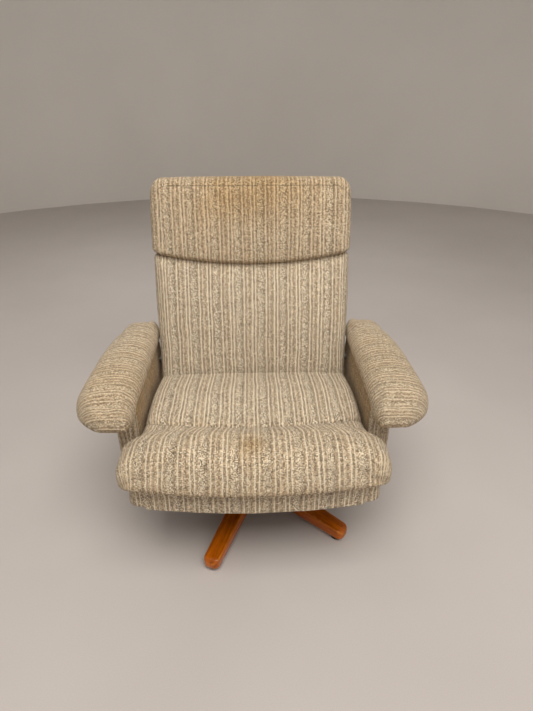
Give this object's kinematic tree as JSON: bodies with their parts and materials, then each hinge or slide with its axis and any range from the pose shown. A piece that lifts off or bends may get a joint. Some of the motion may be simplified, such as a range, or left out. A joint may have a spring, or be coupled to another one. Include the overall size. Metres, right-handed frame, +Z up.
{
  "type": "swivel recliner armchair",
  "caption": "Upholstered swivel armchair on a wooden star base, with a reclining back that drives a gliding seat, a bulging headrest section and two padded arms.",
  "frame": {"origin": "on the floor, on the swivel axis, which is also the middle of the bounding box", "axes": "+Z up along the swivel axis, front of the chair towards -Y, +X is the sitter's left"},
  "size_m": [0.8634, 0.7353, 0.9147],
  "materials": {
    "striped_weave": "coarse striped wool weave",
    "leg_wood": "gloss lacquer",
    "frame_beech": "planed, unfinished",
    "black_steel": "satin black paint",
    "zinc_steel": "bright zinc plating",
    "spring_steel": "oiled spring wire",
    "nylon": "natural nylon",
    "glide_plastic": "black nylon",
    "friction_fibre": "pressed fibre",
    "dust_cloth": "black spun-bonded cloth",
    "elastic_web": "black elastic webbing"
  },
  "bodies": {
    "base": {"base_leg_1": "leg_wood", "base_leg_2": "leg_wood", "base_leg_3": "leg_wood", "base_leg_4": "leg_wood", "base_leg_5": "leg_wood", "foot_glides": "glide_plastic", "base_hub": "black_steel", "hub_top_plate": "black_steel", "hub_bottom_plate": "black_steel", "leg_bolts": "zinc_steel", "base_column": "black_steel", "column_bush": "nylon", "thrust_bearing": "zinc_steel"},
    "swivel_frame": {"swivel_spindle": "zinc_steel", "swivel_plate": "black_steel", "plate_screws": "zinc_steel", "long_rail_left": "black_steel", "long_rail_right": "black_steel", "cross_rail_front": "black_steel", "cross_rail_rear": "black_steel", "guide_rods": "zinc_steel", "arm_brackets": "black_steel", "arm_bolts": "zinc_steel", "arm_frame_left": "frame_beech", "arm_frame_right": "frame_beech", "arm_inner_pad_left": "striped_weave", "arm_inner_pad_right": "striped_weave", "arm_outer_pad_left": "striped_weave", "arm_outer_pad_right": "striped_weave", "arm_cap_left": "striped_weave", "arm_cap_right": "striped_weave", "pivot_studs": "zinc_steel", "spacer_sleeves": "zinc_steel", "friction_discs": "friction_fibre"},
    "left_wheel": {"lock_wheel_left": "leg_wood"},
    "right_wheel": {"lock_wheel_right": "leg_wood"},
    "seat": {"seat_front_rail": "frame_beech", "seat_side_rail_left": "frame_beech", "seat_side_rail_right": "frame_beech", "seat_rear_rail": "frame_beech", "seat_battens": "frame_beech", "slide_blocks": "nylon", "seat_springs": "spring_steel", "spring_clips": "zinc_steel", "slot_brackets": "black_steel", "seat_dust_cover": "dust_cloth", "seat_apron": "striped_weave", "seat_cushion": "striped_weave"},
    "back": {"back_stile_left": "frame_beech", "back_stile_right": "frame_beech", "back_top_rail": "frame_beech", "back_mid_rail": "frame_beech", "back_bottom_rail": "frame_beech", "back_webbing": "elastic_web", "lever_plates": "black_steel", "lever_pins": "zinc_steel", "pivot_bushes": "nylon", "back_cushion": "striped_weave", "headrest_cushion": "striped_weave", "back_rear_panel": "striped_weave"}
  },
  "joints": [
    {"name": "swivel", "type": "hinge", "parent": "base", "child": "swivel_frame", "pos_m": [0, 0, 0.17], "axis": [0, 0, 1], "continuous": true},
    {"name": "recline", "type": "hinge", "parent": "swivel_frame", "child": "back", "pos_m": [0, 0.17478, 0.38484], "axis": [-1, 0, 0], "range_deg": [0, 26]},
    {"name": "seat_glide", "type": "slide", "parent": "swivel_frame", "child": "seat", "axis": [0, -1, 0], "range_m": [0, 0.0445]},
    {"name": "left_wheel_turn", "type": "hinge", "parent": "swivel_frame", "child": "left_wheel", "pos_m": [0.357, 0.17478, 0.38484], "axis": [1, 0, 0], "range_deg": [0, 180]},
    {"name": "right_wheel_turn", "type": "hinge", "parent": "swivel_frame", "child": "right_wheel", "pos_m": [-0.357, 0.17478, 0.38484], "axis": [-1, 0, 0], "range_deg": [0, 180]}
  ],
  "couplings": [
    {"joint": "seat_glide", "follows": "recline", "m_per_rad": 0.097}
  ]
}
